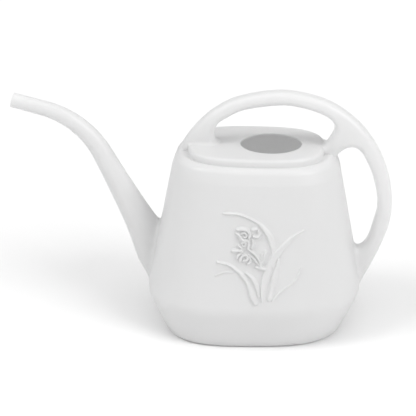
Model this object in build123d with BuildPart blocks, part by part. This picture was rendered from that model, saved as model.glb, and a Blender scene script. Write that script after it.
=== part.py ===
"""Blow-moulded plastic watering can: tank, curved spout and loop handle.

Frame: +Z up, origin at the middle of the face the tank stands on. The spout points along -X,
the handle is at +X, and both lie in the plane y = 0. Millimetres throughout.
"""
import os
from math import cos, pi, radians, sin

from build123d import *

# ---------------------------------------------------------------- driving dimensions
wall = 2.0  # thickness of the moulded wall

# Tank outline at its four levels: length along X, depth along Y, height above the floor
base_length = 146.4
base_depth = 127.0
waist_length = 179.2
waist_depth = 144.4
waist_height = 34.6
shoulder_length = 138.4
shoulder_depth = 108.0
shoulder_height = 138.5
crown_length = 129.6
crown_depth = 99.4
crown_height = 151.0
base_squareness = 3.03  # exponent of the superellipse: 2 is an ellipse, more is squarer
waist_squareness = 2.91
shoulder_squareness = 2.80
base_bias = 0.085  # how much wider the spout end is than the handle end
waist_bias = 0.066
base_radius = 4.0
waist_radius = 12.0
crown_radius = 4.5
foot_width = 8.0  # ring that the tank stands on, around the recessed bottom
recess_depth = 3.0
base_top = 46.0  # where the base and the side wall are parted

# Raised deck on the crown, and the round hole the can is filled through
deck_length = 112.0
deck_depth = 86.4
deck_rise = 5.6
deck_squareness = 2.89
deck_radius = 2.5
groove_width = 2.2
groove_depth = 0.8
fill_radius = 25.2
fill_x = 12.1

# Spout: a straight tip, one bend, and a straight run down into the tank
tip_reach = 112.5  # how far the tip is beyond the end of the waist
tip_rise = 37.2  # how far its middle is above the crown
tip_slope = 14.3  # degrees below the horizontal, going from the tip to the tank
run_slope = 62.5
tip_run = 27.0
bend_radius = 75.0
mouth_bore = 8.4
mouth_depth = 16.0  # length of the straight bore behind the mouth
mouth_radius = 1.2
tip_parting = 24.0  # distances from the tip at which the spout is parted
root_parting = 150.0
# distance from the tip, height across the bend, width along Y
spout_stations = [
    (0, 12.4, 12.4), (27, 12.8, 12.8), (60, 14.6, 14.6), (90, 17.0, 16.6), (118, 19.9, 18.8),
    (147, 24.2, 22.4), (165, 28.6, 26.0), (184, 35.2, 31.0), (197, 35.6, 33.4), (205, 34.4, 34.0),
    (212, 30.0, 34.0),
]

# Handle: a flat loop in the plane y = 0. Its points are given round a tank of the drawn sizes, and
# move with the real tank: with the waist's length low down, and with the crown's height higher up
drawn_length = 179.2
drawn_height = 151.0
handle_width = 17.0
handle_radius = 4.4
handle_wall = 2.6  # in the plane of the loop, where the corners are rounded outside
root_depth = 50.0  # how far the loop's outline is closed off inside the tank
front_parting = -30.0  # x at which the front leg ends and the grip starts
bridge_parting = 52.0  # x at which the grip ends and the bridge starts
leg_top = 140.0  # heights at which the rear leg is parted from the bridge and the root
leg_foot = 78.0
handle_outside = [
    (-66.7, 144.0), (-59.5, 158.0), (-49.0, 172.0), (-34.0, 185.6), (-13.6, 195.8), (19.0, 201.5),
    (47.4, 197.4), (68.3, 188.3), (87.3, 172.4), (101.2, 152.4), (110.3, 128.3), (113.1, 107.0),
    (111.4, 89.0), (105.6, 70.6), (97.7, 51.9), (90.6, 37.6), (87.4, 31.5),
]
top_gap = [
    (-31.0, 155.5), (-34.4, 162.0), (-32.6, 171.6), (-24.6, 178.2), (-9.0, 185.9), (19.0, 190.3),
    (36.0, 188.8), (52.0, 184.0), (61.4, 178.2), (63.6, 171.4), (61.0, 164.4), (54.4, 156.2),
    (38.0, 148.6), (12.0, 146.0), (-16.0, 148.2),
]
rear_gap = [
    (62.8, 140.0), (69.6, 152.0), (78.6, 156.0), (86.8, 151.0), (96.2, 131.6), (101.2, 107.0),
    (98.2, 88.6), (93.6, 73.6), (86.6, 66.9), (77.4, 70.4), (71.0, 82.0), (65.4, 112.0),
]

# Raised orchid on the front and the back of the tank
relief_height = 1.2
# each blade: centre line in x and z, then half its width at the base, the middle and the tip
leaf_blades = {
    "leaf_upper": [(16.6, 83.0), (12.6, 96.0), (7.0, 107.0), (-3.0, 113.5), (-14.0, 116.4), (-22.4, 116.4)],
    "leaf_right": [(11.5, 46.8), (10.8, 62.0), (15.0, 78.0), (23.0, 91.0), (32.0, 99.0), (40.7, 103.0)],
    "leaf_middle": [(14.5, 47.2), (15.5, 58.0), (18.0, 69.0), (21.0, 81.0)],
    "leaf_left": [(5.0, 44.4), (0.4, 56.0), (-4.6, 66.0), (-13.0, 73.0), (-20.0, 76.2), (-27.0, 77.0)],
    "leaf_inner": [(7.0, 49.0), (5.0, 58.5), (1.6, 64.5), (-3.0, 69.0)],
    "leaf_low": [(17.5, 46.8), (26.1, 54.4), (32.8, 61.6), (40.0, 72.5)],
}
blade_width = {
    "leaf_upper": 4.4, "leaf_right": 6.4, "leaf_middle": 4.0,
    "leaf_left": 4.4, "leaf_inner": 3.4, "leaf_low": 2.2,
}
stem_width = 1.7
flower_stems = [
    [(9.5, 70.8), (8.0, 76.0), (5.0, 82.5), (-1.4, 88.4)],
    [(5.8, 73.0), (0.0, 80.0), (-4.4, 86.0)],
    [(8.6, 77.0), (9.6, 82.0), (11.3, 86.7)],
    [(-4.6, 87.0), (0.9, 91.5), (0.8, 97.0), (-5.3, 98.9)],
]
# petals: centre x and z, length, width, angle of the long axis from +X in degrees
petals = [
    (-8.6, 102.8, 9.0, 3.8, 10), (-9.4, 97.6, 8.0, 3.6, -25), (-4.2, 94.0, 4.6, 3.0, 60),
    (-2.6, 101.2, 6.4, 3.2, -60), (2.4, 101.8, 4.0, 2.8, 45), (5.4, 100.2, 4.4, 2.6, -75),
    (-9.6, 91.4, 5.0, 2.8, -35), (-11.0, 87.0, 8.4, 3.2, 5), (-9.0, 82.6, 7.0, 3.2, 60),
    (-5.0, 81.2, 7.0, 3.2, 100), (-1.0, 79.2, 6.6, 2.8, -60),
]

# ---------------------------------------------------------------- shared outlines
outline_points = 40


def beside_tank(x, z):
    """A point drawn beside the tank, moved with the tank's real length and height."""
    share = min(max((z - waist_height) / (drawn_height - waist_height), 0), 1)
    return x + (waist_length - drawn_length) / 2 * (1 - share), z + (crown_height - drawn_height) * share


def ring(length, depth, squareness, bias, height, inset=0.0):
    """Superellipse outline at one height, drawn inside by an inset."""
    half_length = length / 2 - inset
    half_depth = depth / 2 - inset
    points = []
    for step in range(outline_points):
        angle = 2 * pi * step / outline_points
        across = abs(cos(angle)) ** (2 / squareness) * (1 if cos(angle) >= 0 else -1)
        along = abs(sin(angle)) ** (2 / squareness) * (1 if sin(angle) >= 0 else -1)
        points.append((half_length * across, half_depth * (1 - bias * across) * along))
    with BuildSketch(Plane.XY.offset(height)) as outline:
        with BuildLine():
            Spline(*points, periodic=True)
        make_face()
    return outline.sketch


def side_form(inset):
    """The straight side between the waist and the shoulder, as a solid."""
    waist = ring(waist_length, waist_depth, waist_squareness, waist_bias, waist_height, inset)
    shoulder = ring(shoulder_length, shoulder_depth, shoulder_squareness, 0, shoulder_height, inset)
    with BuildPart() as side:
        loft([waist, shoulder], ruled=True)
    return side.part


def tank_body(inset):
    """The tank without its deck, drawn inside by an inset: outer form at 0, hollow at one wall."""
    top = crown_height - inset
    base = ring(base_length, base_depth, base_squareness, base_bias, inset, inset)
    waist = ring(waist_length, waist_depth, waist_squareness, waist_bias, waist_height, inset)
    shoulder = ring(shoulder_length, shoulder_depth, shoulder_squareness, 0, shoulder_height, inset)
    crown = ring(crown_length, crown_depth, shoulder_squareness, 0, top, inset)
    radii = {inset: base_radius - inset / 2, waist_height: waist_radius, top: crown_radius - inset / 2}
    with BuildPart() as body:
        loft([base, waist], ruled=True)
        add(side_form(inset))
        loft([shoulder, crown], ruled=True)
        for height, radius in radii.items():
            rims = [rim for rim in body.edges() if abs(rim.center().Z - height) < 0.01]
            fillet([rim for rim in rims if rim.length > crown_length], radius)
    return body.part


def deck_pad(inset, growth=0.0, low=None):
    """The raised deck, with its rounded edge, drawn inside by an inset or outside by a growth."""
    low = shoulder_height if low is None else low
    high = crown_height + deck_rise - inset
    edge = ring(deck_length, deck_depth, deck_squareness, 0, low, inset - growth)
    with BuildPart() as pad:
        extrude(edge, amount=high - low)
        if not growth:
            rims = pad.edges().group_by(Axis.Z)[-1]
            fillet(rims, deck_radius - inset / 2)
    return pad.part


def tank_form(inset):
    """Tank and deck as one closed form, with the bottom recessed inside the foot ring."""
    recess = ring(base_length, base_depth, base_squareness, base_bias, -1, foot_width - inset)
    with BuildPart() as form:
        add(tank_body(inset))
        add(deck_pad(inset))
        extrude(recess, amount=1 + recess_depth + inset, mode=Mode.SUBTRACT)
    return form.part


def spout_place(distance):
    """Point and heading, in the plane y = 0, at a distance along the spout from its tip."""
    heading = -radians(tip_slope)
    x = -waist_length / 2 - tip_reach + min(distance, tip_run) * cos(heading)
    z = crown_height + tip_rise + min(distance, tip_run) * sin(heading)
    bend_length = bend_radius * radians(run_slope - tip_slope)
    if distance > tip_run:
        turned = min(distance - tip_run, bend_length) / bend_radius
        x += bend_radius * (sin(heading) - sin(heading - turned))
        z += bend_radius * (cos(heading - turned) - cos(heading))
        heading -= turned
    beyond = max(distance - tip_run - bend_length, 0)
    return x + beyond * cos(heading), z + beyond * sin(heading), heading


def spout_plane(distance):
    """Plane across the spout, facing down the spout towards the tank."""
    x, z, heading = spout_place(distance)
    return Plane(origin=(x, 0, z), x_dir=(0, 1, 0), z_dir=(cos(heading), 0, sin(heading)))


def spout_size(distance):
    """Height and width of the spout at a distance from its tip."""
    for near, far in zip(spout_stations, spout_stations[1:]):
        if distance <= far[0]:
            share = (distance - near[0]) / (far[0] - near[0])
            return near[1] + share * (far[1] - near[1]), near[2] + share * (far[2] - near[2])
    return spout_stations[-1][1:]


def spout_form(inset):
    """The spout as one closed form, drawn inside by an inset."""
    first = mouth_depth if inset else 0
    stations = [first] + [station[0] for station in spout_stations[1:]]
    bend_end = tip_run + bend_radius * radians(run_slope - tip_slope)
    stations += [tip_run + (bend_end - tip_run) * share for share in (0.25, 0.75)]
    sections = []
    for distance in sorted(set(stations)):
        height, width = spout_size(distance)
        with BuildSketch(spout_plane(distance)) as section:
            Ellipse(width / 2 - inset, height / 2 - inset)
        sections.append(section.sketch)
    with BuildPart() as form:
        loft(sections)
    return form.part


def drawn_in(points, shift, closed=False):
    """Points of a curve through the given points, moved to its left by a shift."""
    curve = Spline(*[beside_tank(x, z) for x, z in points], periodic=closed)
    steps = 24
    shares = [step / steps for step in range(steps if closed else steps + 1)]
    return [curve @ share + (curve % share).rotate(Axis.Z, 90) * shift for share in shares]


def handle_form(hollow=False):
    """The handle loop as one closed form, with its roots inside the tank, or the hollow in it."""
    half_width = handle_width / 2 - (wall if hollow else 0)
    shift = handle_wall if hollow else 0
    outside = drawn_in(handle_outside, -shift)
    gaps = [drawn_in(gap, shift, closed=True) for gap in (top_gap, rear_gap)]
    corners = [(root_depth, waist_height + 2 * shift), (-root_depth, shoulder_height - shift)]
    with BuildPart() as form:
        with BuildSketch(Plane.XZ.offset(-half_width)):
            with BuildLine():
                Spline(*outside)
                Polyline(outside[-1], *corners, outside[0])
            make_face()
            for gap in gaps:
                with BuildLine():
                    Spline(*gap, periodic=True)
                make_face(mode=Mode.SUBTRACT)
        extrude(amount=2 * half_width)
        if not hollow:
            fillet(form.edges().filter_by(GeomType.BSPLINE), handle_radius)
    return form.part


def blade_outline(points, width, pointed=True):
    """Outline of a leaf or a stem along a centre line given in x and z."""
    centre = Spline(*points)
    shares = [step / 8 for step in range(9)]
    left, right = [], []
    for share in shares:
        half = width * (0.4 + 1.12 * share) * (1 - share) if pointed else width / 2
        place = centre @ share
        across = (centre % share).rotate(Axis.Z, 90) * half
        left.append(place + across)
        right.append(place - across)
    with BuildSketch(Plane.XZ) as outline:
        with BuildLine():
            Spline(*left)
            Spline(*right)
            Line(left[0], right[0])
            if not pointed:
                Line(left[-1], right[-1])
        make_face()
    return outline.sketch


def relief(outlines):
    """Outlines raised from the front of the tank by the relief's height."""
    with BuildPart() as raised:
        with BuildSketch(Plane.XZ):
            for outline in outlines:
                add(outline)
        extrude(amount=base_depth)
        add(side_form(-relief_height), mode=Mode.INTERSECT)
        add(side_form(0), mode=Mode.SUBTRACT)
    return raised.part


# ---------------------------------------------------------------- whole mouldings, before parting
tank_outside = tank_form(0)
spout_hollow = spout_form(wall)
handle_hollow = handle_form(hollow=True)

with BuildPart() as tank_skin:
    add(tank_outside)
    add(deck_pad(0, growth=groove_width, low=crown_height - groove_depth), mode=Mode.SUBTRACT)
    add(deck_pad(0))
    add(tank_form(wall), mode=Mode.SUBTRACT)
    with BuildSketch(Plane.XY.offset(shoulder_height)):
        with Locations((fill_x, 0)):
            Circle(fill_radius)
    extrude(amount=crown_height, mode=Mode.SUBTRACT)
    add(spout_hollow, mode=Mode.SUBTRACT)

with BuildPart() as spout_skin:
    add(spout_form(0))
    fillet(spout_skin.edges().sort_by(Axis.X)[0], mouth_radius)
    add(tank_outside, mode=Mode.SUBTRACT)
    add(spout_hollow, mode=Mode.SUBTRACT)
    with BuildSketch(spout_plane(0)):
        Circle(mouth_bore / 2)
    extrude(amount=mouth_depth + 1, mode=Mode.SUBTRACT)

with BuildPart() as handle_skin:
    add(handle_form())
    add(tank_outside, mode=Mode.SUBTRACT)
    add(handle_hollow, mode=Mode.SUBTRACT)


def between(skin, low_plane=None, high_plane=None):
    """The stretch of a moulding above one plane and below another."""
    with BuildPart() as stretch:
        add(skin.part)
        if low_plane:
            split(bisect_by=low_plane, keep=Keep.TOP)
        if high_plane:
            split(bisect_by=high_plane, keep=Keep.BOTTOM)
    return stretch.part


# ---------------------------------------------------------------- tank
base_plane = Plane.XY.offset(base_top)
deck_plane = Plane.XY.offset(shoulder_height)

with BuildPart() as tank_base:
    add(between(tank_skin, high_plane=base_plane))
tank_base.part.label = "tank_base"

with BuildPart() as tank_wall:
    add(between(tank_skin, base_plane, deck_plane))
tank_wall.part.label = "tank_wall"

with BuildPart() as tank_deck:
    add(between(tank_skin, deck_plane))
tank_deck.part.label = "tank_deck"

# ---------------------------------------------------------------- spout
with BuildPart() as spout_tip:
    add(between(spout_skin, high_plane=spout_plane(tip_parting)))
spout_tip.part.label = "spout_tip"

with BuildPart() as spout_tube:
    add(between(spout_skin, spout_plane(tip_parting), spout_plane(root_parting)))
spout_tube.part.label = "spout_tube"

with BuildPart() as spout_root:
    add(between(spout_skin, spout_plane(root_parting)))
spout_root.part.label = "spout_root"

# ---------------------------------------------------------------- handle
front_plane = Plane.YZ.offset(front_parting)
bridge_plane = Plane.YZ.offset(bridge_parting)
leg_top_plane = Plane.XY.offset(beside_tank(0, leg_top)[1])
leg_foot_plane = Plane.XY.offset(beside_tank(0, leg_foot)[1])

with BuildPart() as handle_front_leg:
    add(between(handle_skin, high_plane=front_plane))
handle_front_leg.part.label = "handle_front_leg"

with BuildPart() as handle_grip:
    add(between(handle_skin, front_plane, bridge_plane))
handle_grip.part.label = "handle_grip"

with BuildPart() as handle_rear:
    add(between(handle_skin, bridge_plane))

with BuildPart() as handle_bridge:
    add(between(handle_rear, leg_top_plane))
handle_bridge.part.label = "handle_bridge"

with BuildPart() as handle_rear_leg:
    add(between(handle_rear, leg_foot_plane, leg_top_plane))
handle_rear_leg.part.label = "handle_rear_leg"

with BuildPart() as handle_rear_root:
    add(between(handle_rear, high_plane=leg_foot_plane))
handle_rear_root.part.label = "handle_rear_root"

# ---------------------------------------------------------------- raised orchid
leaf_outlines = [blade_outline(leaf_blades[name], blade_width[name]) for name in leaf_blades]
flower_outlines = [blade_outline(stem, stem_width, pointed=False) for stem in flower_stems]
for petal_x, petal_z, length, width, angle in petals:
    with BuildSketch(Plane.XZ) as petal:
        with Locations(Location((petal_x, petal_z), angle)):
            Ellipse(length / 2, width / 2)
    flower_outlines.append(petal.sketch)

with BuildPart() as front_leaves:
    add(relief(leaf_outlines))
front_leaves.part.label = "front_leaves"

with BuildPart() as front_flower:
    add(relief(flower_outlines))
    add(front_leaves.part, mode=Mode.SUBTRACT)
front_flower.part.label = "front_flower"

with BuildPart() as back_leaves:
    mirror(front_leaves.part, about=Plane.XZ)
back_leaves.part.label = "back_leaves"

with BuildPart() as back_flower:
    mirror(front_flower.part, about=Plane.XZ)
back_flower.part.label = "back_flower"

# ---------------------------------------------------------------- export
os.makedirs("parts", exist_ok=True)
pieces = [
    tank_base, tank_wall, tank_deck, spout_tip, spout_tube, spout_root,
    handle_front_leg, handle_grip, handle_bridge, handle_rear_leg, handle_rear_root,
    front_leaves, front_flower, back_leaves, back_flower,
]
for piece in pieces:
    export_step(piece.part, f"parts/{piece.part.label}.step")
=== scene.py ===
"""White moulded watering can: tank with a raised orchid, thin spout and loop handle."""
from math import cos, pi, radians, sin, sqrt

import bpy
import numpy as np
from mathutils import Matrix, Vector
from mathutils.bvhtree import BVHTree


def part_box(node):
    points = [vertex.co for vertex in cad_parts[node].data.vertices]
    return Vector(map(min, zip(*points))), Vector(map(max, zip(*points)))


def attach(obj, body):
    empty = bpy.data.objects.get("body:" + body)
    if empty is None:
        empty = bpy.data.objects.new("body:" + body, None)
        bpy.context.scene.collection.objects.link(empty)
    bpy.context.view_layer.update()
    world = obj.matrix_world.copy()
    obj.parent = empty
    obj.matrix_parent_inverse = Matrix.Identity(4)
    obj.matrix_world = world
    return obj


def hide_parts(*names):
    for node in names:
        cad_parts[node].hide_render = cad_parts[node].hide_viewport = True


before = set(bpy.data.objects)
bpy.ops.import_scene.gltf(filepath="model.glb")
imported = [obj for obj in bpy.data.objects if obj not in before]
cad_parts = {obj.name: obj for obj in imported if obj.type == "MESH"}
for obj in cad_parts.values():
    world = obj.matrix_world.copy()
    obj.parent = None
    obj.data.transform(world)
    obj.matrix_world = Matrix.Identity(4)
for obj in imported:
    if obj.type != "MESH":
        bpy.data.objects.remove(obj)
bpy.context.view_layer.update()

bl_info = {
    "name": "Watering can",
    "version": (1, 0, 0),
    "blender": (4, 5, 0),
    "location": "View3D > Sidebar > Watering can",
    "description": "Builds a moulded watering can around its frame",
    "category": "Add Mesh",
}

MM = 0.001  # the forms below are in millimetres, the objects and settings in metres
DECK_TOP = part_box("tank_deck")[1][2] / MM
CROWN_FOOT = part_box("tank_deck")[0][2] / MM
HOLE_RADIUS = 25.2
HOLE_X = 12.1  # of the fill hole's middle
TANK_NODES = (
    "tank_base", "tank_wall", "tank_deck", "front_leaves", "front_flower", "back_leaves", "back_flower",
)
SPOUT_NODES = ("spout_tip", "spout_tube", "spout_root")
HANDLE_NODES = ("handle_front_leg", "handle_grip", "handle_bridge", "handle_rear_leg", "handle_rear_root")


# ---------------------------------------------------------------- settings
class CanTank(bpy.types.PropertyGroup):
    """Sizes of the tank."""
    wall: bpy.props.FloatProperty(
        name="Wall", description="Thickness of the plastic", default=2.0 * MM, unit="LENGTH")
    relief: bpy.props.FloatProperty(
        name="Relief", description="Height of the raised orchid", default=2.2 * MM, unit="LENGTH")
    hole: bpy.props.FloatProperty(
        name="Fill hole", description="Radius of the fill hole", default=HOLE_RADIUS * MM, unit="LENGTH")
    hole_x: bpy.props.FloatProperty(
        name="Hole place", description="Fill hole's middle along X", default=HOLE_X * MM, unit="LENGTH")


class CanSpout(bpy.types.PropertyGroup):
    """Sizes of the spout."""
    bore: bpy.props.FloatProperty(
        name="Bore", description="Width of the mouth", default=8.4 * MM, unit="LENGTH")
    blend: bpy.props.FloatProperty(
        name="Blend", description="Fillet between spout and tank", default=5.0 * MM, unit="LENGTH")


class CanHandle(bpy.types.PropertyGroup):
    """Sizes of the handle."""
    width: bpy.props.FloatProperty(
        name="Width", description="Width of the grip", default=17.0 * MM, unit="LENGTH")
    edge: bpy.props.FloatProperty(
        name="Edge", description="Rounding of the grip's edges", default=5.3 * MM, unit="LENGTH")
    blend: bpy.props.FloatProperty(
        name="Blend", description="Fillet between handle and tank", default=3.5 * MM, unit="LENGTH")
    fan: bpy.props.FloatProperty(
        name="Fan", description="Fillet under the bridge", default=1.05 * MM, unit="LENGTH")


class CanFinish(bpy.types.PropertyGroup):
    """The plastic's look and the light on it."""
    colour: bpy.props.FloatVectorProperty(
        name="Colour", description="Colour of the plastic", subtype="COLOR", default=(0.88, 0.88, 0.88))
    roughness: bpy.props.FloatProperty(
        name="Roughness", description="Roughness of the plastic", default=0.31, subtype="FACTOR")
    translucency: bpy.props.FloatProperty(
        name="Translucency", description="Share of light let through", default=0.42, subtype="FACTOR")
    key: bpy.props.FloatProperty(
        name="Lights", description="Power of the studio lights", default=1.05)
    fill: bpy.props.FloatProperty(
        name="Surround", description="Strength of the surrounding light", default=0.5)


# ---------------------------------------------------------------- the can's form, in millimetres
# outlines of the tank: half length, half depth, squareness of the corners, widening at the spout end
BASE = np.array((73.2, 63.5, 3.03, 0.085))
WAIST = np.array((89.6, 72.2, 2.91, 0.066))
SHOULDER = np.array((69.2, 54.0, 2.80, 0.0))
CROWN = np.array((64.8, 49.7, 2.80, 0.0))
DECK = np.array((56.0, 43.2, 2.89, 0.0))
LEVELS = ((0.0, BASE), (34.6, WAIST), (CROWN_FOOT, SHOULDER), (151.0, CROWN))
SOFTNESS = (5.0, 0.9)  # of the waist and of the shoulder, above and below
CROWN_Z = LEVELS[-1][0]
BASE_RADIUS = 4.0
CROWN_RADIUS = 4.5
DECK_RADIUS = 2.6
FOOT_WIDTH = 8.0
FOOT_ROUND = ((7.7, 2.6), (7.3, 1.0), (6.8, 0.2), (6.2, 0.0))  # inset and height of the foot's inner edge
RECESS = 3.0
DECK_LEAN = 0.15  # how far the deck's wall leans in
GROOVE = 0.9
GROOVE_CLEAR = (9, 13)  # the groove is filled to this far out along Y, at the front leg and at the bridge
GROOVE_FADE = 12  # and is whole again after this much more
# how far across the groove and its share of the depth there; inset and drop round the fill hole's edge
GROOVE_SHAPE = ((0.25, 0.15), (0.5, 0.6), (0.7, 1.0), (0.88, 1.0), (0.97, 0.75))
HOLE_EDGE = ((-1.2, 0), (-0.5, 0.06), (-0.15, 0.25), (0, 0.6), (0, 1.4), (-0.1, 1.8), (-0.5, 2.0))
RELIEF_X = (-34.0, 46.0)
RELIEF_Z = (41.0, 121.0)
SIDE_Y = 45.0  # the orchids lie further out than this along Y
RELIEF_STEP = 0.6  # size of the mesh where the orchid is raised
COLUMN_STEP = 3.0  # and of its columns elsewhere
SIDE_ROWS = (  # where each run of the mesh's rows up the side starts and stops, and its step
    (6, 29, 3.0), (29.4, RELIEF_Z[0], 0.9), (*RELIEF_Z, RELIEF_STEP), (RELIEF_Z[1] + 1, 137, 2.2),
    (137.3, 140, 0.4), (141.0, CROWN_Z - CROWN_RADIUS, 1.2),
)


def smaller(form, inset):
    """A form drawn in by an inset."""
    return form - np.array((inset, inset, 0, 0))


def side_form(z):
    """Outline of the tank's side at a height, with the waist and the shoulder softened."""
    slopes = [(high[1] - low[1]) / (high[0] - low[0]) for low, high in zip(LEVELS, LEVELS[1:])]
    form = BASE + slopes[0] * z
    for (height, _), soft, before, after in zip(LEVELS[1:], SOFTNESS, slopes, slopes[1:]):
        rise = min(max(z - height, -soft), soft)
        turned = (rise + soft) ** 2 / (4 * soft) + max(z - height - soft, 0)
        form = form + (after - before) * turned
    return form


def ring(form, z, angles, middle=0.0):
    """Points of one outline at a height."""
    half_length, half_depth, squareness, bias = form
    across = np.sign(np.cos(angles)) * np.abs(np.cos(angles)) ** (2 / squareness)
    along = np.sign(np.sin(angles)) * np.abs(np.sin(angles)) ** (2 / squareness)
    x = middle + half_length * across
    y = half_depth * (1 - bias * across) * along
    return np.stack([x, y, np.full_like(x, z)], axis=-1)


def column_angles():
    """Angles round the tank: close together where the orchid is raised, wider elsewhere."""
    fine = np.linspace(0, 2 * pi, 20001)
    points = ring(side_form(80.0), 80.0, fine)
    steps = np.hypot(*np.diff(points[:, :2], axis=0).T)
    raised = (points[1:, 0] > RELIEF_X[0]) & (points[1:, 0] < RELIEF_X[1]) & (np.abs(points[1:, 1]) > SIDE_Y)
    travelled = np.concatenate([[0], np.cumsum(steps / np.where(raised, RELIEF_STEP, COLUMN_STEP))])
    count = int(round(travelled[-1]))
    return np.interp(np.linspace(0, travelled[-1], count + 1), travelled, fine)


def filled_groove(rings, first, count):
    """Fill the groove where the handle stands on it, further out at the bridge than at the front leg."""
    level = CROWN_Z + 0.1
    for row in range(first, first + count):
        points = rings[row]
        height = points[:, 2]
        clear = np.where(points[:, 0] > 0, GROOVE_CLEAR[1], GROOVE_CLEAR[0])
        beside = np.clip((np.abs(points[:, 1]) - clear) / GROOVE_FADE, 0, 1)
        filled = level + (height - level) * beside * beside * (3 - 2 * beside)
        points[:, 2] = np.where(height < level, filled, height)


def ramp(value, start, length):
    """How far a value is along a stretch, from 0 to 1."""
    return min(max((value - start) / length, 0), 1)


def arc(count):
    """Angles of a quarter turn, both ends included."""
    return np.linspace(0, pi / 2, count)


def outside_levels():
    """(form, height, middle) from the middle of the bottom up to the rounded crown."""
    bottom = smaller(BASE, FOOT_WIDTH)
    shrink = [np.array((share, share, 1, 1)) for share in (0, 0.3, 0.6, 0.85, 1)]
    levels = [(bottom * scale, RECESS, 0) for scale in shrink]
    levels += [(smaller(BASE, inset), z, 0) for inset, z in FOOT_ROUND]
    for turn in arc(8):
        z = BASE_RADIUS * (1 - cos(turn))
        levels.append((smaller(side_form(z), BASE_RADIUS * (1 - sin(turn))), z, 0))
    levels += [(side_form(z), z, 0) for rows in SIDE_ROWS for z in np.arange(*rows)]
    for turn in arc(9):
        z = CROWN_Z - CROWN_RADIUS * (1 - sin(turn))
        levels.append((smaller(side_form(z), CROWN_RADIUS * (1 - cos(turn))), z, 0))
    return levels


def deck_levels(groove=GROOVE, hole=HOLE_RADIUS, hole_x=HOLE_X):
    """(form, height, middle) from the crown across the groove and the deck to the fill hole."""
    shelf = smaller(CROWN, CROWN_RADIUS)
    levels = [(shelf + (DECK - shelf) * share, CROWN_Z - groove * depth, 0) for share, depth in GROOVE_SHAPE]
    edge_z = DECK_TOP - DECK_RADIUS
    levels += [(DECK, CROWN_Z + 0.3, 0), (smaller(DECK, 0.1), edge_z - 0.8, 0)]
    for turn in arc(9):
        inset = DECK_LEAN + DECK_RADIUS * (1 - cos(turn))
        levels.append((smaller(DECK, inset), edge_z + DECK_RADIUS * sin(turn), 0))
    flat = smaller(DECK, DECK_LEAN + DECK_RADIUS)
    rim = np.array((hole, hole, 2.0, 0.0))
    widest = smaller(rim, HOLE_EDGE[0][0])
    for share in (0.08, 0.3, 0.6, 0.85):
        levels.append((flat + (widest - flat) * share, DECK_TOP, hole_x * share))
    return levels + [(smaller(rim, inset), DECK_TOP - drop, hole_x) for inset, drop in HOLE_EDGE]


def inside_levels(wall):
    """(form, height, middle) of the hollow, from under the deck down to the middle of its floor."""
    edge = smaller(DECK, wall + DECK_RADIUS)
    levels = [(edge, DECK_TOP - wall, 0), (smaller(DECK, wall + 0.6), DECK_TOP - wall - 1.2, 0)]
    levels += [(smaller(DECK, wall), CROWN_Z - wall, 0), (smaller(CROWN, wall + 2.5), CROWN_Z - wall, 0)]
    heights = list(np.arange(CROWN_Z - wall - 3, 42, -7.0)) + list(np.arange(41, 28, -2.0)) + [20, 12, 7]
    levels += [(smaller(side_form(z), wall), z, 0) for z in heights]
    floor = RECESS + wall
    levels.append((smaller(side_form(floor), wall + 2.0), floor, 0))
    shrink = [np.array((share, share, 1, 1)) for share in (0.8, 0.5, 0)]
    return levels + [(smaller(BASE, FOOT_WIDTH) * scale, floor, 0) for scale in shrink]


# ---------------------------------------------------------------- the raised orchid
# each stroke is its points in x and z with half its width there, from the root or stalk outwards, then its
# share of the relief's height (or of the depth cut away) and, for a leaf, how far its right side slopes down
LEAVES = [
    (((17.6, 83.5, 0.9), (17.6, 89.5, 2.0), (14.6, 98.2, 2.2), (9.4, 105.6, 1.5), (5.2, 109.6, 0.8)),
     0.85, 0.45),
    (((6.6, 108.4, 0.9), (1.4, 111.6, 0.8), (-6.0, 114.9, 0.75), (-14.0, 116.6, 0.7), (-22.6, 116.3, 0.5)),
     0.75, 0.0),
    (((9.6, 45.6, 0.8), (10.2, 57.0, 2.1), (12.3, 66.5, 2.9), (15.0, 73.8, 3.1), (18.6, 82.2, 2.7),
      (22.6, 87.6, 2.1), (28.4, 94.0, 1.5), (34.8, 99.6, 1.0), (41.0, 103.0, 0.5)), 0.8, 0.5),
    (((15.2, 47.6, 1.8), (17.3, 57.5, 2.1), (19.0, 65.6, 2.1), (20.6, 73.0, 1.5), (21.8, 80.5, 0.7)),
     0.65, 0.3),
    (((4.3, 43.8, 1.4), (2.2, 49.4, 2.5), (0.1, 55.3, 1.9), (-2.8, 61.2, 1.3), (-6.4, 66.3, 1.4),
      (-11.6, 71.2, 1.2), (-18.6, 75.6, 0.9), (-27.2, 77.2, 0.5)), 0.9, 0.35),
    (((7.0, 49.4, 0.6), (6.2, 53.6, 1.1), (4.2, 59.7, 1.5), (0.7, 65.0, 1.3), (-3.8, 68.8, 0.6)),
     0.75, 0.3),
    (((-14.0, 69.4, 0.5), (-20.8, 68.9, 0.6), (-28.4, 66.0, 0.5)), 0.35, 0.0),
    (((17.4, 46.0, 0.5), (23.4, 52.6, 0.6), (28.9, 57.6, 0.6), (34.2, 61.6, 0.55), (37.5, 67.0, 0.5),
      (39.6, 72.6, 0.4)), 0.45, 0.0),
]
GAPS = [
    (((-2.2, 63.4, 0.4), (1.0, 58.8, 0.7), (4.0, 53.4, 0.7), (6.0, 47.6, 0.5)), 1.0),
    (((12.6, 46.6, 0.4), (14.6, 55.0, 0.6), (16.2, 62.6, 0.5)), 0.85),
    (((15.6, 65.0, 0.4), (17.0, 70.0, 0.6), (16.6, 73.4, 0.4)), 0.8),
    (((19.6, 74.0, 0.4), (20.0, 79.0, 0.5)), 0.7),
]
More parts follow.
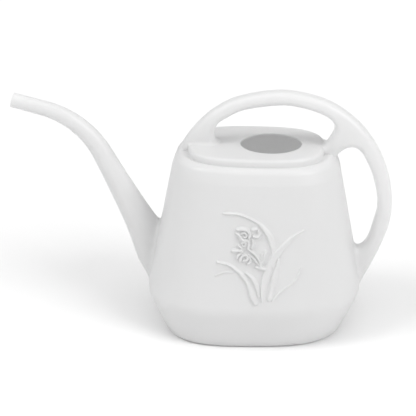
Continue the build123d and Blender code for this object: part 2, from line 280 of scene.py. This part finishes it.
FLOWERS = [
    (((11.6, 72.3, 1.1), (8.0, 73.2, 1.2), (4.4, 73.9, 1.0)), 1.1),
    (((8.0, 73.8, 0.9), (7.0, 78.6, 0.9), (3.2, 84.2, 0.9), (-2.2, 88.2, 0.8)), 1.1),
    (((6.6, 75.4, 0.8), (2.4, 80.6, 0.8), (-2.0, 84.2, 0.7)), 1.0),
    (((8.4, 76.8, 0.6), (9.8, 81.6, 0.7), (11.4, 86.8, 0.8)), 0.8),
    (((8.2, 78.6, 0.5), (8.4, 82.0, 0.6), (9.0, 84.8, 0.5)), 0.6),
    (((0.6, 89.0, 0.8), (1.6, 92.6, 0.9), (0.8, 96.4, 0.8)), 0.9),
    (((-2.4, 89.0, 0.8), (-2.2, 92.8, 0.8), (-3.4, 96.2, 0.7)), 0.9),
    (((-11.4, 104.0, 0.9), (-8.0, 104.6, 1.3), (-4.2, 104.0, 1.3), (-1.6, 101.0, 1.1), (-2.0, 97.6, 0.9)),
     1.2),
    (((-12.0, 101.2, 0.8), (-9.4, 99.0, 1.1), (-7.6, 96.2, 1.2), (-4.4, 95.4, 1.0)), 1.15),
    (((-8.2, 100.6, 0.7), (-6.0, 101.6, 0.8), (-4.0, 100.0, 0.8), (-4.8, 97.8, 0.7), (-6.4, 98.4, 0.6)),
     1.1),
    (((0.8, 104.2, 0.9), (3.2, 104.8, 1.1)), 1.0),
    (((5.6, 103.2, 0.9), (6.6, 100.4, 1.1), (4.6, 98.2, 1.0), (1.6, 99.0, 0.9)), 1.0),
    (((-7.4, 93.6, 0.7), (-5.2, 93.8, 0.9), (-4.8, 91.4, 0.8), (-6.8, 91.0, 0.7), (-7.6, 92.8, 0.6)), 0.95),
    (((-10.4, 91.2, 0.8), (-8.2, 89.6, 1.0)), 1.0),
    (((-15.0, 86.8, 0.9), (-11.6, 87.2, 1.3), (-7.6, 86.8, 0.9)), 1.15),
    (((-11.4, 80.6, 0.7), (-10.4, 83.2, 1.0), (-8.0, 85.0, 0.8)), 1.0),
    (((-8.8, 78.6, 0.8), (-8.0, 81.6, 0.9), (-5.4, 83.8, 0.8), (-3.0, 82.6, 0.9), (-3.2, 79.8, 1.0),
      (-6.0, 78.8, 0.9)), 1.1),
    (((-2.4, 76.6, 0.8), (-0.6, 78.8, 0.9), (-1.2, 82.0, 0.7)), 1.05),
]
# x, z and radius of the pits in the flower
PITS = ((-6.4, 99.4, 0.7), (3.8, 101.6, 0.7), (-4.6, 87.2, 0.9), (-5.8, 81.4, 0.8), (-6.2, 92.4, 0.5))
FLANK = 0.85  # how far the relief's sides spread


def through(points, steps=8):
    """A smooth line of points through the given ones."""
    points = np.array(points, float)
    ends = np.vstack([2 * points[0] - points[1], points, 2 * points[-1] - points[-2]])
    line = []
    for before, start, stop, after in zip(ends, ends[1:], ends[2:], ends[3:]):
        for t in np.arange(steps) / steps:
            bend = 2 * start + (stop - before) * t + (2 * before - 5 * start + 4 * stop - after) * t * t
            line.append((bend + (3 * start - before - 3 * stop + after) * t ** 3) / 2)
    return np.array(line + [points[-1]])


def round_loop(points, steps=8):
    """A smooth closed line of points through the given ones."""
    overlapping = through(points[-2:] + points + points[:2], steps)
    return overlapping[2 * steps:-steps - 1]


def stroke_height(x, z, points, lean=0.0):
    """How much a stroke covers each place, from 0 to 1, higher on its left where it leans."""
    line = through(points)
    best = np.full(x.shape, 9.0)  # farther away than any flank reaches
    side = np.zeros(x.shape)
    for start, stop in zip(line, line[1:]):
        run = stop[:2] - start[:2]
        length = max(run @ run, 1e-9)
        share = np.clip(((x - start[0]) * run[0] + (z - start[1]) * run[1]) / length, 0, 1)
        off_x = x - start[0] - share * run[0]
        off_z = z - start[1] - share * run[1]
        half = start[2] + share * (stop[2] - start[2])
        gap = np.hypot(off_x, off_z) - half
        nearer = gap < best
        turn = (run[0] * off_z - run[1] * off_x) / sqrt(length) / half
        best = np.where(nearer, gap, best)
        side = np.where(nearer, turn, side)
    cover = np.clip(0.5 - best / FLANK, 0, 1)
    cover = cover * cover * (3 - 2 * cover)
    return cover * (1 + lean * (np.clip(side, -1, 1) - 1) / 2)


def relief_height(x, z):
    """Height of the orchid over the tank's side, as a share of the relief's height."""
    height = np.zeros(x.shape)
    for points, top, lean in LEAVES:
        height = np.maximum(height, top * stroke_height(x, z, points, lean))
    for points, depth in GAPS:
        height = height * (1 - depth * stroke_height(x, z, points))
    for points, top in FLOWERS:
        height = np.maximum(height, top * stroke_height(x, z, points))
    for pit_x, pit_z, radius in PITS:
        away = np.hypot(x - pit_x, z - pit_z) / radius
        height = height * (1 - 0.9 * np.clip(1.5 - away, 0, 1))
    return height


# ---------------------------------------------------------------- the spout
TIP = (-202.1, 188.2)  # x and z of the middle of the mouth
TIP_SLOPE = radians(14.3)
RUN_SLOPE = radians(62.5)
TIP_RUN = 27.0
BEND_RADIUS = 75.0
MOUTH_ROUND = 1.3
BORE_DEPTH = 14.0  # how far the bore runs straight before the spout widens inside
SPOUT_COLUMNS = 96
# distance from the mouth, half height across the bend, half width along Y
SPOUT_SIZES = (
    (0, 6.2, 6.2), (27, 6.4, 6.4), (60, 7.3, 7.3), (90, 8.5, 8.3), (118, 9.95, 9.4),
    (147, 12.1, 11.2), (165, 14.3, 13.0), (184, 17.6, 15.5), (197, 17.8, 16.7), (205, 17.2, 17.0),
    (212, 15.0, 17.0),
)


def spout_place(distance):
    """Point and heading of the spout's middle line at a distance from the mouth."""
    heading = -TIP_SLOPE
    x = TIP[0] + min(distance, TIP_RUN) * cos(heading)
    z = TIP[1] + min(distance, TIP_RUN) * sin(heading)
    bend = BEND_RADIUS * (RUN_SLOPE - TIP_SLOPE)
    if distance > TIP_RUN:
        turned = min(distance - TIP_RUN, bend) / BEND_RADIUS
        x += BEND_RADIUS * (sin(heading) - sin(heading - turned))
        z += BEND_RADIUS * (cos(heading - turned) - cos(heading))
        heading -= turned
    beyond = max(distance - TIP_RUN - bend, 0)
    return x + beyond * cos(heading), z + beyond * sin(heading), heading


def spout_ring(distance, inset, angles):
    """Points round the spout at a distance from the mouth."""
    x, z, heading = spout_place(distance)
    sizes = through(SPOUT_SIZES)
    high = np.interp(distance, sizes[:, 0], sizes[:, 1]) - inset
    wide = np.interp(distance, sizes[:, 0], sizes[:, 2]) - inset
    up = high * np.cos(angles)
    return np.stack([x - sin(heading) * up, wide * np.sin(angles), z + cos(heading) * up], axis=-1)


# ---------------------------------------------------------------- the handle
# x and z round the outside, from the rear root over the crown to the front leg and back inside the tank
HANDLE_OUTLINE = [
    (86.6, 30.0), (90.6, 37.6), (97.7, 51.9), (105.6, 70.6), (111.4, 89.0), (113.1, 107.0), (110.3, 128.3),
    (101.2, 152.4), (87.3, 172.4), (68.3, 188.3), (47.4, 197.4), (19.0, 201.5), (-13.6, 195.8),
    (-34.0, 185.6), (-49.0, 172.0), (-59.5, 158.0), (-66.6, 144.4), (-67.4, 134.0), (-61.0, 124.0),
    (-46.0, 119.0), (-10.0, 116.0), (24.0, 108.0), (44.0, 82.0), (56.0, 44.0), (62.0, 28.0), (71.0, 20.0),
    (80.0, 21.5),
]
# and round the gap over the deck and the one behind the tank
TOP_GAP = [
    (-31.0, 155.5), (-34.4, 162.0), (-32.6, 171.6), (-24.6, 178.2), (-9.0, 185.9), (19.0, 190.3),
    (36.0, 188.8), (52.0, 184.0), (61.4, 178.2), (63.6, 171.4), (61.0, 164.4), (54.4, 156.2),
    (38.0, 148.6), (12.0, 146.0), (-16.0, 148.2),
]
REAR_GAP = [
    (62.8, 140.0), (69.6, 152.0), (78.6, 156.0), (86.8, 151.0), (96.2, 131.6), (101.2, 107.0), (98.2, 88.6),
    (93.6, 73.6), (86.6, 66.9), (77.4, 70.4), (71.0, 82.0), (65.4, 112.0),
]
EDGE_STEPS = 7  # of the rounding along the handle's edges
HANDLE_MESH = 0.75  # size of the handle's mesh


# ---------------------------------------------------------------- shaping by operators
SPOUT_SINK = 1.0  # how deep the spout reaches into the tank's skin
HANDLE_SINK = 1.2  # and the handle
TANK_MIDDLE = Vector((0, 0, 80))
FAR = 30.0  # no fillet looks further than this for the tank
STEEP = 0.2  # a face that is turned less than this from the tank's own is left as it is


def alone(piece):
    """Select one object only and make it active."""
    bpy.ops.object.select_all(action="DESELECT")
    piece.select_set(True)
    bpy.context.view_layer.objects.active = piece


def merged(piece, threshold):
    """Merge a piece's doubled points and turn its faces outwards."""
    alone(piece)
    bpy.ops.object.mode_set(mode="EDIT")
    bpy.ops.mesh.select_all(action="SELECT")
    bpy.ops.mesh.remove_doubles(threshold=threshold)
    bpy.ops.mesh.select_all(action="SELECT")
    bpy.ops.mesh.normals_make_consistent(inside=False)
    bpy.ops.object.mode_set(mode="OBJECT")


def rolled(name, rings):
    """A closed skin: a grid whose rows are laid on the given rings."""
    rows, columns = rings.shape[:2]
    bpy.ops.object.select_all(action="DESELECT")
    bpy.ops.mesh.primitive_grid_add(x_subdivisions=columns - 1, y_subdivisions=rows - 1, size=1)
    skin = bpy.context.object
    skin.name = skin.data.name = name
    place_points(skin, rings)
    merged(skin, 1e-5)
    return skin


def apply_modifier(piece, kind, **settings):
    """Add one modifier to a piece and apply it."""
    alone(piece)
    bpy.ops.object.modifier_add(type=kind)
    modifier = piece.modifiers[-1]
    for setting, value in settings.items():
        setattr(modifier, setting, value)
    bpy.ops.object.modifier_apply(modifier=modifier.name)


def cut_from(piece, cutter):
    """Take one solid away from another and drop the cutter."""
    apply_modifier(piece, "BOOLEAN", operation="DIFFERENCE", solver="EXACT", object=cutter)
    bpy.data.objects.remove(cutter)


def smooth_shade(piece, degrees=60):
    """Shade a piece smooth, but for edges sharper than an angle."""
    alone(piece)
    bpy.ops.object.shade_smooth_by_angle(angle=radians(degrees))


def coordinates(piece):
    """A piece's points as an array, in millimetres."""
    points = np.empty(len(piece.data.vertices) * 3, np.float32)
    piece.data.vertices.foreach_get("co", points)
    return points.reshape(-1, 3).astype(float) / MM


def place_points(piece, points):
    """Put a piece's points at the given places, in millimetres."""
    piece.data.vertices.foreach_set("co", (points * MM).astype(np.float32).ravel())
    piece.data.update()


def plain_rings(inset, angles):
    """Rings of the tank's outside as a plain closed solid, drawn in by an inset."""
    outside = outside_levels()
    levels = outside[:-1:3] + outside[-1:] + deck_levels(groove=0.0)[3:-8]
    levels.append((levels[-1][0] * np.array((0, 0, 1, 1)), DECK_TOP, levels[-1][2]))
    drawn_in = [(smaller(form, inset if form[0] > inset else 0), z, middle) for form, z, middle in levels]
    rings = np.array([ring(form, z, angles, middle) for form, z, middle in drawn_in])
    rings[..., 2] = np.clip(rings[..., 2], inset, DECK_TOP - inset)
    return rings


def plain_tank(inset):
    """The tank's outside as a plain solid object, drawn in by an inset."""
    return rolled("plain_tank", plain_rings(inset, np.linspace(0, 2 * pi, 161)))


def surface_tree():
    """A search tree over the plain tank's outside."""
    rings = plain_rings(0.0, np.linspace(0, 2 * pi, 241))
    rows, columns = rings.shape[:2]
    corners = [row * columns + column for row in range(rows - 1) for column in range(columns - 1)]
    faces = [(first, first + 1, first + columns + 1, first + columns) for first in corners]
    return BVHTree.FromPolygons([tuple(point) for point in rings.reshape(-1, 3)], faces)


def flare(piece, tree, radius_at):
    """Spread a piece where it meets the tank, so that the two run together in a fillet."""
    points = coordinates(piece)
    moved = points.copy()
    normals = [vertex.normal.copy() for vertex in piece.data.vertices]
    for index, point in enumerate(points):
        radius = radius_at(point)
        spot = Vector(point)
        near, facing, _, away = tree.find_nearest(spot, FAR)
        if near is None:
            continue
        if facing.dot(near - TANK_MIDDLE) < 0:
            facing = -facing
        height = away if (spot - near).dot(facing) > 0 else 0.0
        if height >= radius:
            continue
        sideways = normals[index] - facing * normals[index].dot(facing)
        if sideways.length < STEEP:
            continue
        lift = radius - height
        spread = radius - sqrt(max(radius * radius - lift * lift, 0.0))
        moved[index] = point + np.array(sideways.normalized()) * spread
    place_points(piece, moved)


def finished(piece, *nodes):
    """Join a piece to the frame in place of its plain nodes."""
    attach(piece, "root")
    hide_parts(*nodes)
    piece.data.materials.clear()
    piece.data.materials.append(plastic())


# ---------------------------------------------------------------- the plastic
def add_node(material, kind, **values):
    """A new shader node with some of its inputs set: to_min stands for To Min."""
    node = material.node_tree.nodes.new("ShaderNode" + kind)
    for name, value in values.items():
        node.inputs[name.replace("_", " ").title()].default_value = value
    return node


def add_bump(material, height, distance, strength, under=None):
    """A bump of a height, laid over another bump."""
    bump = add_node(material, "Bump", distance=distance, strength=strength)
    material.node_tree.links.new(height, bump.inputs["Height"])
    if under:
        material.node_tree.links.new(under.outputs["Normal"], bump.inputs["Normal"])
    return bump


def plastic():
    """White blow-moulded polythene: soft gloss, faint ripple, fine grain, a parting line round the middle."""
    known = bpy.data.materials.get("white_polythene")
    if known:
        return known
    look = bpy.context.scene.can_finish
    material = bpy.data.materials.new("white_polythene")
    material.use_nodes = True
    nodes, links = material.node_tree.nodes, material.node_tree.links
    shader = nodes["Principled BSDF"]
    shader.inputs["Base Color"].default_value = (*look.colour, 1)
    shader.inputs["IOR"].default_value = 1.5
    through_wall = add_node(material, "BsdfTranslucent", color=(0.95, 0.95, 0.95, 1))
    both = add_node(material, "MixShader", fac=look.translucency)
    links.new(shader.outputs["BSDF"], both.inputs[1])
    links.new(through_wall.outputs["BSDF"], both.inputs[2])
    links.new(both.outputs["Shader"], nodes["Material Output"].inputs["Surface"])

    place = add_node(material, "TexCoord")
    ripple = add_node(material, "TexNoise", scale=38.0, detail=2.0)
    grain = add_node(material, "TexNoise", scale=1500.0, detail=2.0)
    for texture in (ripple, grain):
        links.new(place.outputs["Object"], texture.inputs["Vector"])
    gloss = add_node(material, "MapRange", to_min=look.roughness - 0.02, to_max=look.roughness + 0.02)
    links.new(ripple.outputs["Fac"], gloss.inputs["Value"])
    links.new(gloss.outputs["Result"], shader.inputs["Roughness"])

    parts = add_node(material, "SeparateXYZ")
    links.new(place.outputs["Object"], parts.inputs["Vector"])
    side = add_node(material, "Math")
    side.operation = "ABSOLUTE"
    links.new(parts.outputs["Y"], side.inputs[0])
    seam = add_node(material, "MapRange", from_min=0.1 * MM, from_max=0.6 * MM, to_min=1.0, to_max=0.0)
    seam.interpolation_type = "SMOOTHSTEP"
    links.new(side.outputs[0], seam.inputs["Value"])

    wave = add_bump(material, ripple.outputs["Fac"], 0.4 * MM, 0.25)
    fine = add_bump(material, grain.outputs["Fac"], 0.03 * MM, 0.35, wave)
    line = add_bump(material, seam.outputs["Result"], 0.12 * MM, 0.5, fine)
    links.new(line.outputs["Normal"], shader.inputs["Normal"])
    return material


# ---------------------------------------------------------------- operators
class CAN_OT_tank(bpy.types.Operator):
    """Build the tank: tapered body, waist, shoulder, groove, raised deck, fill hole and orchid"""
    bl_idname = "can.tank"
    bl_label = "Tank"

    def execute(self, context):
        sizes = context.scene.can_tank
        angles = column_angles()
        outside = outside_levels()
        levels = outside + deck_levels(hole=sizes.hole / MM, hole_x=sizes.hole_x / MM)
        levels += inside_levels(sizes.wall / MM)
        rings = np.array([ring(form, z, angles, middle) for form, z, middle in levels])
        count = len(outside)
        filled_groove(rings, count, len(GROOVE_SHAPE) + 1)
        rings[:count] = self.with_orchid(rings[:count], sizes.relief / MM)
        tank = rolled("tank", rings)
        smooth_shade(tank)
        finished(tank, *TANK_NODES)
        return {"FINISHED"}

    @staticmethod
    def with_orchid(skin, height):
        """The outside's rings with the orchid raised on the front and the back."""
        x, y, z = np.moveaxis(skin, -1, 0)
        facing = np.cross(np.gradient(skin, axis=1), np.gradient(skin, axis=0))
        length = np.linalg.norm(facing, axis=-1, keepdims=True)
        facing = facing / np.where(length > 1e-9, length, 1)
        on_side = (np.abs(y) > SIDE_Y) & (z > RELIEF_Z[0]) & (z < RELIEF_Z[1])
        return skin + facing * (relief_height(x, z) * height * on_side)[..., None]


class CAN_OT_spout(bpy.types.Operator):
    """Build the spout: wide foot, straight run, bend and square-cut tip with its bore"""
    bl_idname = "can.spout"
    bl_label = "Spout"

    def execute(self, context):
        sizes = context.scene.can_spout
        blend = sizes.blend / MM
        path = self.path(sizes.bore / MM, context.scene.can_tank.wall / MM)
        angles = np.linspace(0, 2 * pi, SPOUT_COLUMNS + 1)
        spout = rolled("spout", np.array([spout_ring(along, inset, angles) for along, inset in path]))
        flare(spout, surface_tree(), lambda point: blend)
        cut_from(spout, plain_tank(SPOUT_SINK))
        smooth_shade(spout)
        finished(spout, *SPOUT_NODES)
        return {"FINISHED"}

    @staticmethod
    def path(bore, wall):
        """(distance from the mouth, inset) along the outside to the foot and back through the bore."""
        rim = SPOUT_SIZES[0][1] - bore / 2
        rounding = min(MOUTH_ROUND, rim * 0.49)
        outer = [(rounding * (1 - sin(turn)), rounding * (1 - cos(turn))) for turn in arc(6)][::-1]
        out = ((3, 27, 3.0), (27, 92, 2.0), (92, 148, 2.5), (148, 214, 0.8))
        back = ((212, 92, -4.0), (91, 27, -3.0), (26, 16, -3.0))
        path = [(0, rim)] + outer + [(along, 0) for run in out for along in np.arange(*run)]
        path += [(along, wall) for run in back for along in np.arange(*run)]
        return path + [(along, rim) for along in (BORE_DEPTH, 6, 2, rounding * 0.5, 0)]


class CAN_OT_handle(bpy.types.Operator):
    """Build the handle: front leg, arch over the fill hole, rear loop and the web that joins them"""
    bl_idname = "can.handle"
    bl_label = "Handle"

    def execute(self, context):
        sizes = context.scene.can_handle
        bpy.ops.object.select_all(action="DESELECT")
        bpy.ops.curve.primitive_bezier_circle_add(rotation=(pi / 2, 0, 0))
        handle = bpy.context.object
        handle.name = "handle"
        outline = handle.data
        outline.splines.clear()
        outline.dimensions = "2D"
        outline.fill_mode = "BOTH"
        outline.extrude = sizes.width / 2 - sizes.edge
        outline.bevel_depth = sizes.edge
        outline.bevel_resolution = EDGE_STEPS
        outline.offset = -sizes.edge
        for loop in (HANDLE_OUTLINE, TOP_GAP, REAR_GAP):
            line = round_loop(loop)
            spline = outline.splines.new("POLY")
            spline.points.add(len(line) - 1)
            spline.points.foreach_set("co", [value for x, z in line for value in (x * MM, z * MM, 0, 1)])
            spline.use_cyclic_u = True
        alone(handle)
        bpy.ops.object.convert(target="MESH")
        handle = bpy.context.object
        bpy.ops.object.transform_apply(location=True, rotation=True, scale=True)
        merged(handle, 1e-6)
        cut_from(handle, plain_tank(HANDLE_SINK))
        apply_modifier(handle, "REMESH", mode="VOXEL", voxel_size=HANDLE_MESH * MM)
        apply_modifier(handle, "SMOOTH", factor=0.5, iterations=6)
        flare(handle, surface_tree(), lambda point: self.radius(point, sizes.blend / MM, sizes.fan / MM))
        apply_modifier(handle, "SMOOTH", factor=0.5, iterations=3)
        smooth_shade(handle)
        handle.name = handle.data.name = "handle"
        finished(handle, *HANDLE_NODES)
        return {"FINISHED"}

    @staticmethod
    def radius(point, blend, fan):
        """Fillet where the handle meets the tank: its own under the bridge, smaller over the crown's end."""
        high = ramp(point[2], 128, 10)
        under_bridge = ramp(point[0], 40, 12) * high
        at_end = ramp(-point[0], 46, 8) * high
        return blend * (1 - 0.5 * at_end) + (fan - blend) * under_bridge


# ---------------------------------------------------------------- the stage
# name, place, spread in degrees and share of the lights' power
SUNS = (
    ("key", (0.70, -0.46, 0.60), 32, 1.2),
    ("left", (-0.62, -0.26, 0.66), 26, 0.92),
    ("top", (0.05, -0.15, 1.0), 55, 0.78),
)
VIEW_TURN = radians(4.675)
VIEW_TILT = radians(22.265)
VIEW_AIM = Vector((-0.03993, 0, 0.09706))
VIEW_DISTANCE = 1.2096
LENS = 124.6
FLOOR_SIZE = 60


class CAN_OT_stage(bpy.types.Operator):
    """Lay the pale floor and set the lights and the camera"""
    bl_idname = "can.stage"
    bl_label = "Stage"

    def execute(self, context):
        look = context.scene.can_finish
        bpy.ops.object.select_all(action="DESELECT")
        bpy.ops.mesh.primitive_plane_add(size=FLOOR_SIZE, location=(0, 0, 0))
        floor = bpy.context.object
        floor.name = "floor"
        paper = bpy.data.materials.new("white_paper")
        paper.use_nodes = True
        surface = paper.node_tree.nodes["Principled BSDF"]
        surface.inputs["Base Color"].default_value = (0.87, 0.87, 0.87, 1)
        surface.inputs["Roughness"].default_value = 0.9
        surface.inputs["Specular IOR Level"].default_value = 0.1
        floor.data.materials.append(paper)

        world = bpy.data.worlds.new("studio")
        world.use_nodes = True
        background = world.node_tree.nodes["Background"]
        background.inputs["Color"].default_value = (1, 1, 1, 1)
        background.inputs["Strength"].default_value = look.fill
        context.scene.world = world
        for name, place, spread, share in SUNS:
            self.sun(name, place, spread, look.key * share)

        level = cos(VIEW_TILT)
        back = Vector((sin(VIEW_TURN) * level, -cos(VIEW_TURN) * level, sin(VIEW_TILT)))
        bpy.ops.object.camera_add(
            location=VIEW_AIM + back * VIEW_DISTANCE, rotation=(pi / 2 - VIEW_TILT, 0, VIEW_TURN))
        camera = bpy.context.object
        camera.name = "camera"
        camera.data.lens = LENS
        camera.data.sensor_width = 36
        camera.data.clip_start = 0.05
        context.scene.camera = camera
        context.scene.view_settings.view_transform = "Standard"
        return {"FINISHED"}

    @staticmethod
    def sun(name, place, spread, strength):
        """A wide distant light shining from a direction."""
        aim = (-Vector(place)).to_track_quat("-Z", "Y").to_euler()
        bpy.ops.object.light_add(type="SUN", location=place, rotation=aim)
        light = bpy.context.object
        light.name = light.data.name = name
        light.data.angle = radians(spread)
        light.data.energy = strength


# ---------------------------------------------------------------- the sidebar
# settings and the operator that goes with them
PANEL_ROWS = (("tank", "tank"), ("spout", "spout"), ("handle", "handle"), ("finish", "stage"))


class CAN_PT_panel(bpy.types.Panel):
    """Sidebar panel with the can's sizes and builders"""
    bl_label = "Watering can"
    bl_idname = "CAN_PT_panel"
    bl_space_type = "VIEW_3D"
    bl_region_type = "UI"
    bl_category = "Watering can"

    def draw(self, context):
        for group, operator in PANEL_ROWS:
            settings = getattr(context.scene, "can_" + group)
            box = self.layout.box()
            for name in settings.bl_rna.properties.keys():
                if name not in ("rna_type", "name"):
                    box.prop(settings, name)
            box.operator("can." + operator)


CLASSES = (
    CanTank, CanSpout, CanHandle, CanFinish,
    CAN_OT_tank, CAN_OT_spout, CAN_OT_handle, CAN_OT_stage, CAN_PT_panel,
)
GROUPS = (
    ("can_tank", CanTank), ("can_spout", CanSpout), ("can_handle", CanHandle), ("can_finish", CanFinish),
)


def register():
    """Add the classes and settings."""
    for kind in CLASSES:
        bpy.utils.register_class(kind)
    for name, kind in GROUPS:
        setattr(bpy.types.Scene, name, bpy.props.PointerProperty(type=kind))


def unregister():
    """Remove the settings and classes."""
    for name, _ in GROUPS:
        delattr(bpy.types.Scene, name)
    for kind in reversed(CLASSES):
        bpy.utils.unregister_class(kind)


def main():
    """Build the whole can and its stage."""
    register()
    bpy.ops.can.tank()
    bpy.ops.can.spout()
    bpy.ops.can.handle()
    bpy.ops.can.stage()


if __name__ == "__main__":
    main()
